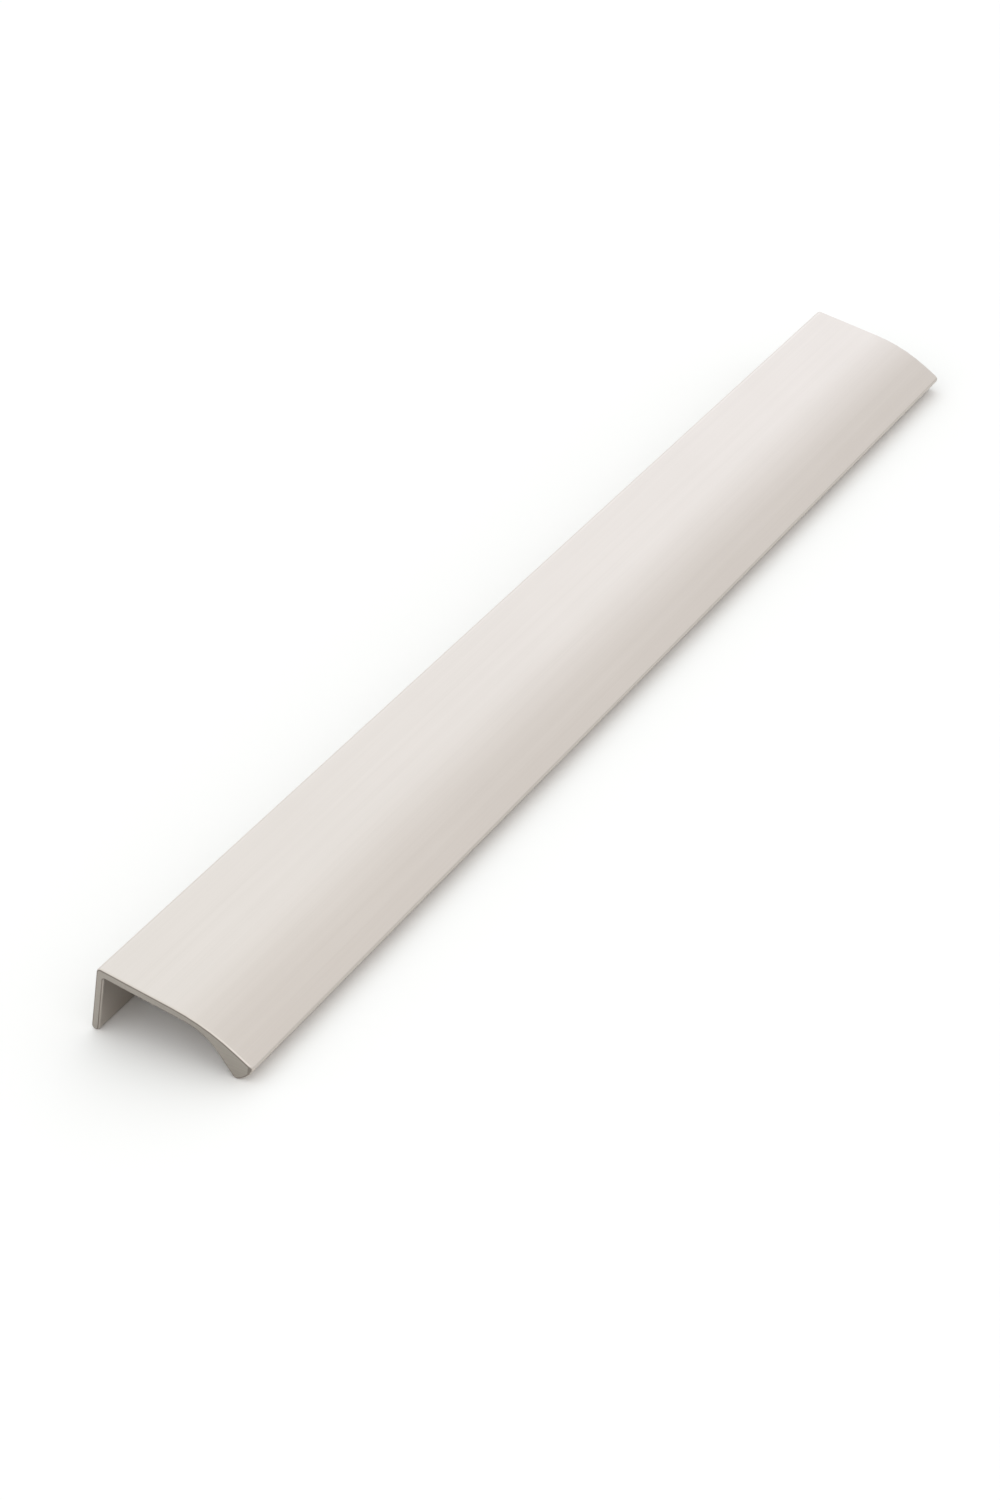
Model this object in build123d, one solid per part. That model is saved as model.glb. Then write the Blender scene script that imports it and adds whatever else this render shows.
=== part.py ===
from build123d import *
import math
import os

# Edge pull for a cabinet door or drawer front: one length of extruded aluminium section.
# The screw flange stands behind the panel, the plate lies over the panel's edge, and the solid
# wedge of the lip hangs out in front, where the fingers hook behind it.
# It is drawn with the plate level and is then laid down on its flange and lip, as it lies on a table.
# +X runs along the length, the lip faces -Y and +Z is up.

# Overall sizes, in millimetres
pull_length = 350.0
pull_depth = 40.0
flange_height = 17.5

# Walls
plate_thickness = 2.2
flange_thickness = 2.0

# The lip: top and finger side turn down at the crease, each at its own angle and with its own bend
crease = 27.5
top_slope = 22.5
top_bend_radius = 42.0
finger_slope = 44.0
finger_bend_radius = 12.5
lip_drop = 10.3
nose_radius = 8.0

# Corners of the section, the front corner of each end seen from above, and the rim of each sawn end
back_corner_radius = 1.2
inside_corner_radius = 0.5
front_edge_radius = 0.7
nose_corner_radius = 1.2
end_corner_radius = 1.5
end_edge_radius = 0.5

# Countersunk screw holes through the flange
screw_count = 3
screw_end_distance = 15.0
screw_hole_radius = 2.0
countersink_radius = 3.4
countersink_angle = 90.0


def lip_point(height, slope, forward):
    """The point this far forward on a line that falls at the slope from this height at the crease."""
    return (forward, height - (forward - crease) * math.tan(math.radians(slope)))


def section_sketch():
    """The section: forward is the distance from the flange's back, up is the height over the plate."""
    plate_underside = -plate_thickness
    flange_end = -flange_height + flange_thickness / 2
    front_edge = lip_point(0, top_slope, pull_depth)
    nose_forward = crease + (lip_drop - plate_thickness) / math.tan(math.radians(finger_slope))
    nose_corner = lip_point(plate_underside, finger_slope, nose_forward)
    with BuildSketch() as sketch:
        with BuildLine():
            Polyline((0, flange_end), (0, 0), (crease, 0), front_edge)
            RadiusArc(front_edge, nose_corner, nose_radius)
            Polyline(
                nose_corner,
                (crease, plate_underside),
                (flange_thickness, plate_underside),
                (flange_thickness, flange_end),
            )
            ThreePointArc(
                (flange_thickness, flange_end),
                (flange_thickness / 2, -flange_height),
                (0, flange_end),
            )
        make_face()
        rounded = {
            (0, 0): back_corner_radius,
            (crease, 0): top_bend_radius,
            front_edge: front_edge_radius,
            nose_corner: nose_corner_radius,
            (crease, plate_underside): finger_bend_radius,
            (flange_thickness, plate_underside): inside_corner_radius,
        }
        for corner, radius in rounded.items():
            fillet(sketch.vertices().sort_by_distance(corner)[0], radius)
    return sketch.sketch


def resting_lean(section):
    """How far the section leans when it stands on its flange and its lip, in degrees."""
    hull = make_hull(section.edges())
    spans = hull.edges().filter_by(GeomType.LINE).filter_by(lambda edge: edge.length > crease)
    floor_line = spans.sort_by(lambda edge: (edge @ 0.5).Y)[0]
    run = floor_line @ 1 - floor_line @ 0
    return math.degrees(math.atan(run.Y / run.X))


section = section_sketch()

# The extruded length, sawn off square
section_plane = Plane(origin=(0, 0, 0), x_dir=(0, -1, 0), z_dir=(-1, 0, 0))
sawn_length = extrude(section_plane * section, amount=pull_length / 2, both=True)

# The lip's front corner is rounded off at each end, and so is the whole rim of each end. The plan is
# centred on the flange's back, so its rear corners lie clear behind the section.
with BuildSketch() as plan:
    Rectangle(pull_length, 2 * pull_depth)
    fillet(plan.vertices(), end_corner_radius)
pull = sawn_length & extrude(plan.sketch, amount=flange_height, both=True)
pull = fillet(pull.faces().filter_by(Axis.X).edges(), end_edge_radius)

# Screw holes halfway down the flange below the plate, countersunk from behind
screw_height = -(flange_height + plate_thickness) / 2
screw_spacing = (pull_length - 2 * screw_end_distance) / (screw_count - 1)
flange_back = Plane(origin=(0, 0, screw_height), x_dir=(1, 0, 0), z_dir=(0, 1, 0))
for place in GridLocations(screw_spacing, 1, screw_count, 1):
    pull -= flange_back * place * CounterSinkHole(
        screw_hole_radius, countersink_radius, flange_thickness, countersink_angle
    )

# Laid down: leaning onto the lip, centred over the origin, with the floor at Z = 0
lean = resting_lean(section)
leaning = Rot(X=lean) * pull
box = leaning.bounding_box()
pull_profile = Pos(0, -(box.min.Y + box.max.Y) / 2, -box.min.Z) * leaning

os.makedirs("parts", exist_ok=True)
export_step(pull_profile, "parts/pull_profile.step")
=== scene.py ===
import math

import bpy
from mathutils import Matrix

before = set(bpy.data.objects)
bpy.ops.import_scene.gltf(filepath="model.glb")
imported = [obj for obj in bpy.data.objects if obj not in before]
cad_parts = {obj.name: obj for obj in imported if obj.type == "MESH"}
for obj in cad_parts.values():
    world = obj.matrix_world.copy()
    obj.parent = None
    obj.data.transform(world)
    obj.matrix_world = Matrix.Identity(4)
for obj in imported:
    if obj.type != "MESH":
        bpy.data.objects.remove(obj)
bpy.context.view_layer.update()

# The pull: one length of extruded aluminium section, with screw flange, plate and lip in one.
# It is pushed through a die, brushed lengthwise and anodised, sawn off square at both ends,
# and drilled and countersunk from behind for its three screws.
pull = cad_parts["pull_profile"]


def linear(colour):
    """An sRGB hex colour as the linear RGBA that a shader takes."""
    channels = []
    for start in (1, 3, 5):
        c = int(colour[start : start + 2], 16) / 255
        channels.append(c / 12.92 if c <= 0.04045 else ((c + 0.055) / 1.055) ** 2.4)
    return (*channels, 1.0)


def add(tree, kind, links=(), **settings):
    """Adds one node with its settings and its links or values, and gives its outputs."""
    made = tree.nodes.new(kind)
    for name, value in settings.items():
        setattr(made, name, value)
    for socket, value in links:
        if isinstance(value, bpy.types.NodeSocket):
            tree.links.new(value, made.inputs[socket])
        else:
            made.inputs[socket].default_value = value
    return made.outputs


# Satin anodised aluminium, nickel coloured and brushed lengthwise: a warm pale grey with a soft sheen
# and faint lines along it. Where the brush doesn't reach, it is duller and painted shade makes it deeper.
# The sawn ends are deeper still, partly by painted shade, with a painted shade line round the rim, and the
# countersinks are bright.
satin = bpy.data.materials.new("satin_anodised_aluminium")
satin.use_nodes = True
metal = satin.node_tree
metal.nodes.clear()
coordinates = add(metal, "ShaderNodeTexCoord")

# Places on the section in millimetres: X along the length, Y forward from the flange's back and Z up
# from the plate's top, before the pull leans onto its lip. The corner, in metres, is where the flange's
# back and the plate's top would meet. Y is turned round, because the lip points to -Y.
section_corner = (0, 0.017174, 0.017345)
lean = math.radians(12.059)
millimetre = 0.001
place = add(
    metal,
    "ShaderNodeMapping",
    [
        ("Vector", coordinates["Object"]),
        ("Location", section_corner),
        ("Rotation", (lean, 0, 0)),
        ("Scale", (millimetre, -millimetre, millimetre)),
    ],
    vector_type="TEXTURE",
)["Vector"]
axes = add(metal, "ShaderNodeSeparateXYZ", [("Vector", place)])

# Which way the faces look, in the same axes, as parts of a normal of length 1
level_normal = add(
    metal,
    "ShaderNodeMapping",
    [("Vector", coordinates["Normal"]), ("Rotation", (lean, 0, 0)), ("Scale", (1, -1, 1))],
    vector_type="TEXTURE",
)["Vector"]
facing = add(metal, "ShaderNodeSeparateXYZ", [("Vector", level_normal)])

# Brushing: strokes 60 mm long and 0.3 mm wide. Real ones are much finer, and these are as coarse as
# they need to be to show.
stroke_length = 60
stroke_width = 0.3
strokes = add(
    metal,
    "ShaderNodeMapping",
    [("Vector", place), ("Scale", (1 / stroke_length, 1 / stroke_width, 1 / stroke_width))],
)["Vector"]
brushing = add(
    metal,
    "ShaderNodeTexNoise",
    [("Vector", strokes), ("Scale", 1.0), ("Detail", 3.0), ("Roughness", 0.6)],
)["Fac"]

# Die lines: faint bands about 2.4 mm wide that run the whole length
die_line_length = 900
die_line_width = 2.4
bands = add(
    metal,
    "ShaderNodeMapping",
    [("Vector", place), ("Scale", (1 / die_line_length, 1 / die_line_width, 1 / die_line_width))],
)["Vector"]
die_lines = add(metal, "ShaderNodeTexNoise", [("Vector", bands), ("Scale", 1.0), ("Detail", 2.0)])["Fac"]

# Haze from handling, in patches of about 15 mm, and clouds in the anodising, of about 45 mm
haze_patch = 15
cloud = 45
haze = add(
    metal, "ShaderNodeTexNoise", [("Vector", place), ("Scale", 1 / haze_patch), ("Detail", 3.0)]
)["Fac"]
clouds = add(metal, "ShaderNodeTexNoise", [("Vector", place), ("Scale", 1 / cloud), ("Detail", 2.0)])["Fac"]

# Brushed side: all that faces up, as far as the front edge, which is turned forward by more than the
# slope of the lip's top. The edge, the nose, the underside and the flange aren't brushed, and their deeper
# colour is painted shade: a dark line along the front edge and a dim inside to the flange.
unbrushed_rise = 0.1
brushed_rise = 0.6
edge_turn = 0.65
slope_turn = 0.42
facing_up = add(
    metal,
    "ShaderNodeMapRange",
    [("Value", facing["Z"]), ("From Min", unbrushed_rise), ("From Max", brushed_rise)],
    interpolation_type="SMOOTHSTEP",
)["Result"]
behind_edge = add(
    metal,
    "ShaderNodeMapRange",
    [("Value", facing["Y"]), ("From Min", edge_turn), ("From Max", slope_turn)],
)["Result"]
brushed_and_lit_side = add(
    metal, "ShaderNodeMath", [(0, facing_up), (1, behind_edge)], operation="MULTIPLY"
)["Value"]

# Sawn ends: the saw's work starts on the rounded rim, which gets a painted shade line round the flat face
rim_start = 0.7
rim_full = 0.85
face_start = 0.985
face_full = 0.9999
endwise = add(metal, "ShaderNodeMath", [(0, facing["X"])], operation="ABSOLUTE")["Value"]
sawn = add(
    metal,
    "ShaderNodeMapRange",
    [("Value", endwise), ("From Min", rim_start), ("From Max", rim_full)],
    interpolation_type="SMOOTHSTEP",
)["Result"]
sawn_face = add(
    metal,
    "ShaderNodeMapRange",
    [("Value", endwise), ("From Min", face_start), ("From Max", face_full)],
    interpolation_type="SMOOTHSTEP",
)["Result"]

# Saw marks: arcs round the blade's centre, 150 mm above the plate. They are 0.3 mm apart, which is
# coarser than a fine blade leaves them, so that they show.
blade_centre = (0, 20, 150)
saw_mark = 0.3
across = add(metal, "ShaderNodeVectorMath", [(0, place), (1, (0, 1, 1))], operation="MULTIPLY")["Vector"]
blade_gap = add(
    metal, "ShaderNodeVectorMath", [(0, across), (1, blade_centre)], operation="DISTANCE"
)["Value"]
saw_marks = add(
    metal,
    "ShaderNodeTexNoise",
    [("W", blade_gap), ("Scale", 1 / saw_mark), ("Detail", 2.0)],
    noise_dimensions="1D",
)["Fac"]

# Countersinks: every 160 mm along the flange, 9.85 mm below the plate's top and 3.4 mm in radius. They
# are found as all that slants within 3.5 mm of a hole's middle and 2.4 mm of the flange's back.
hole_spacing = 160
hole_centre = (0, 0, -9.85)
clear_of_hole = 3.6
over_hole = 3.5
clear_of_flange = 2.6
over_flange = 2.4
square_on = 0.95
slant = 0.85
along_hole = add(
    metal,
    "ShaderNodeMath",
    [(0, axes["X"]), (1, hole_spacing / 2), (2, -hole_spacing / 2)],
    operation="WRAP",
)["Value"]
hole_place = add(metal, "ShaderNodeCombineXYZ", [("X", along_hole), ("Z", axes["Z"])])["Vector"]
hole_gap = add(
    metal, "ShaderNodeVectorMath", [(0, hole_place), (1, hole_centre)], operation="DISTANCE"
)["Value"]
in_hole = add(
    metal,
    "ShaderNodeMapRange",
    [("Value", hole_gap), ("From Min", clear_of_hole), ("From Max", over_hole)],
)["Result"]
in_flange = add(
    metal,
    "ShaderNodeMapRange",
    [("Value", axes["Y"]), ("From Min", clear_of_flange), ("From Max", over_flange)],
)["Result"]
flat_on = add(metal, "ShaderNodeMath", [(0, facing["Y"])], operation="ABSOLUTE")["Value"]
slanting = add(
    metal,
    "ShaderNodeMapRange",
    [("Value", flat_on), ("From Min", square_on), ("From Max", slant)],
)["Result"]
within = add(metal, "ShaderNodeMath", [(0, in_hole), (1, in_flange)], operation="MULTIPLY")["Value"]
turned = add(metal, "ShaderNodeMath", [(0, within), (1, slanting)], operation="MULTIPLY")["Value"]

# Turned rings: 0.25 mm apart, which is coarser than the tool leaves them, so that they show
ring = 0.25
rings = add(
    metal,
    "ShaderNodeTexNoise",
    [("W", hole_gap), ("Scale", 1 / ring), ("Detail", 1.0)],
    noise_dimensions="1D",
)["Fac"]

# Colour: what the die left, then what the brush, the saw and the countersink did to it, with painted
# shade in the deeper extruded colour, the sawn ends and their rim. A Mix node gives several sockets the
# same name, so its colours go by number here, and its values below.
colour_a = 6
colour_b = 7
colour_out = 2
# The extruded colour is deeper as painted shade, on the faces that turn away from the top
extruded_with_painted_shade = linear("#c6bfb7")
anodised_pale = linear("#dfd7cf")
anodised_deep = linear("#d9d1c9")
stroke_shade = linear("#cfc7be")
# The saw's colours are partly the bare cut metal and partly painted shade, deeper than the metal would look
saw_groove_and_shade = linear("#9d978f")
saw_ridge_and_shade = linear("#afa9a1")
# A painted shade line on the rounded rim of each sawn end
painted_rim_shade = linear("#88817a")
turned_bright = linear("#e3dfda")
anodised = add(
    metal,
    "ShaderNodeMix",
    [("Factor", clouds), (colour_a, anodised_pale), (colour_b, anodised_deep)],
    data_type="RGBA",
)[colour_out]
in_lines = add(metal, "ShaderNodeMath", [(0, brushing), (1, die_lines)], operation="MULTIPLY")["Value"]
brushed = add(
    metal,
    "ShaderNodeMix",
    [("Factor", in_lines), (colour_a, anodised), (colour_b, stroke_shade)],
    data_type="RGBA",
)[colour_out]
grooves_and_shade = add(
    metal,
    "ShaderNodeMix",
    [("Factor", saw_marks), (colour_a, saw_groove_and_shade), (colour_b, saw_ridge_and_shade)],
    data_type="RGBA",
)[colour_out]
sawn_end_and_shade = add(
    metal,
    "ShaderNodeMix",
    [("Factor", sawn_face), (colour_a, painted_rim_shade), (colour_b, grooves_and_shade)],
    data_type="RGBA",
)[colour_out]
colour = extruded_with_painted_shade
for share, over in [(brushed_and_lit_side, brushed), (sawn, sawn_end_and_shade), (turned, turned_bright)]:
    colour = add(
        metal,
        "ShaderNodeMix",
        [("Factor", share), (colour_a, colour), (colour_b, over)],
        data_type="RGBA",
    )[colour_out]

# Roughness, in the same order: dull as extruded, a soft sheen with haze where it is brushed, duller
# where it is sawn, and smooth where it is turned
value_a = 2
value_b = 3
value_out = 0
extruded_roughness = 0.38
clear_roughness = 0.28
hazy_roughness = 0.33
sawn_roughness = 0.48
turned_roughness = 0.22
brushed_sheen = add(
    metal, "ShaderNodeMapRange", [("Value", haze), ("To Min", clear_roughness), ("To Max", hazy_roughness)]
)["Result"]
sheen = extruded_roughness
for share, over in [(brushed_and_lit_side, brushed_sheen), (sawn, sawn_roughness), (turned, turned_roughness)]:
    sheen = add(
        metal, "ShaderNodeMix", [("Factor", share), (value_a, sheen), (value_b, over)]
    )[value_out]

# Relief, in micrometres: the brushing, then the saw marks and the turned rings
micrometre = 1e-6
brushing_height = 3.0
saw_mark_height = 8.0
ring_height = 5.0
relief = add(metal, "ShaderNodeMath", [(0, brushing), (1, brushing_height)], operation="MULTIPLY")["Value"]
for share, marks, height in [(sawn_face, saw_marks, saw_mark_height), (turned, rings, ring_height)]:
    raised = add(metal, "ShaderNodeMath", [(0, marks), (1, height)], operation="MULTIPLY")["Value"]
    relief = add(
        metal, "ShaderNodeMix", [("Factor", share), (value_a, relief), (value_b, raised)]
    )[value_out]
bumps = add(
    metal, "ShaderNodeBump", [("Height", relief), ("Strength", 1.0), ("Distance", micrometre)]
)["Normal"]

finish = add(
    metal,
    "ShaderNodeBsdfPrincipled",
    [("Base Color", colour), ("Metallic", 1.0), ("Roughness", sheen), ("Normal", bumps)],
)["BSDF"]
add(metal, "ShaderNodeOutputMaterial", [("Surface", finish)])

pull.data.materials.clear()
pull.data.materials.append(satin)

# The floor: a plain sheet of white paper that runs out of view on all sides. It isn't part of the pull.
# Matt white paper gives the eye an even ground, with only a soft shadow where the pull lies.
paper_side = 40
bpy.ops.mesh.primitive_plane_add(size=paper_side)
floor = bpy.context.object
floor.name = "floor"
paper = bpy.data.materials.new("matt_white_paper")
paper.use_nodes = True
paper.node_tree.nodes.clear()
matt = add(
    paper.node_tree,
    "ShaderNodeBsdfPrincipled",
    [("Base Color", linear("#fbfaf8")), ("Roughness", 0.9), ("Specular IOR Level", 0.2)],
)["BSDF"]
add(paper.node_tree, "ShaderNodeOutputMaterial", [("Surface", matt)])
floor.data.materials.append(paper)

# The light: a white tent that is nearly even all round, with soft glows where its lamps stand, and a
# slightly greyer patch where a screen keeps one off the lip. Each has its azimuth and height in degrees,
# its spread, and the brightness that it adds or takes.
evenly_lit = (0.935, 0.935, 0.945)
glows = [
    (18, 24, 0.06, (0.45, 0.495, 0.60)),
    (60, 50, 0.12, (0.16, 0.22, 0.235)),
    (0, 90, 0.12, (0.165, 0.185, 0.145)),
    (-110, 55, 0.05, (0.55, 0.55, 0.55)),
    (-15, 25, 0.05, (-0.075, -0.075, -0.075)),
]
tent = bpy.data.worlds.new("tent")
tent.use_nodes = True
cloth = tent.node_tree
cloth.nodes.clear()
outwards = add(cloth, "ShaderNodeTexCoord")["Generated"]
light = evenly_lit
for azimuth, height, spread, brightness in glows:
    a = math.radians(azimuth)
    h = math.radians(height)
    lamp = (math.cos(h) * math.cos(a), math.cos(h) * math.sin(a), math.sin(h))
    nearness = add(
        cloth, "ShaderNodeVectorMath", [(0, outwards), (1, lamp)], operation="DOT_PRODUCT"
    )["Value"]
    apart = add(cloth, "ShaderNodeMath", [(0, nearness), (1, 1.0)], operation="SUBTRACT")["Value"]
    falling = add(cloth, "ShaderNodeMath", [(0, apart), (1, spread)], operation="DIVIDE")["Value"]
    fade = add(cloth, "ShaderNodeMath", [(0, falling)], operation="EXPONENT")["Value"]
    glow = add(
        cloth, "ShaderNodeVectorMath", [(0, brightness), ("Scale", fade)], operation="SCALE"
    )["Vector"]
    light = add(cloth, "ShaderNodeVectorMath", [(0, light), (1, glow)], operation="ADD")["Vector"]
shining = add(cloth, "ShaderNodeBackground", [("Color", light)])["Background"]
add(cloth, "ShaderNodeOutputWorld", [("Surface", shining)])
bpy.context.scene.world = tent
bpy.context.scene.view_settings.view_transform = "Standard"

# The camera: a longish lens before the near end, above it and a little to the front, that looks down
# along the length. Its place is in metres and its turn in degrees.
camera_place = (-0.58546, -0.33577, 0.41499)
camera_turn = (56.8724, 2.262, -59.94)
lens = bpy.data.cameras.new("camera")
lens.lens = 76.63
lens.sensor_width = 36
camera = bpy.data.objects.new("camera", lens)
camera.location = camera_place
camera.rotation_euler = [math.radians(angle) for angle in camera_turn]
bpy.context.scene.collection.objects.link(camera)
bpy.context.scene.camera = camera
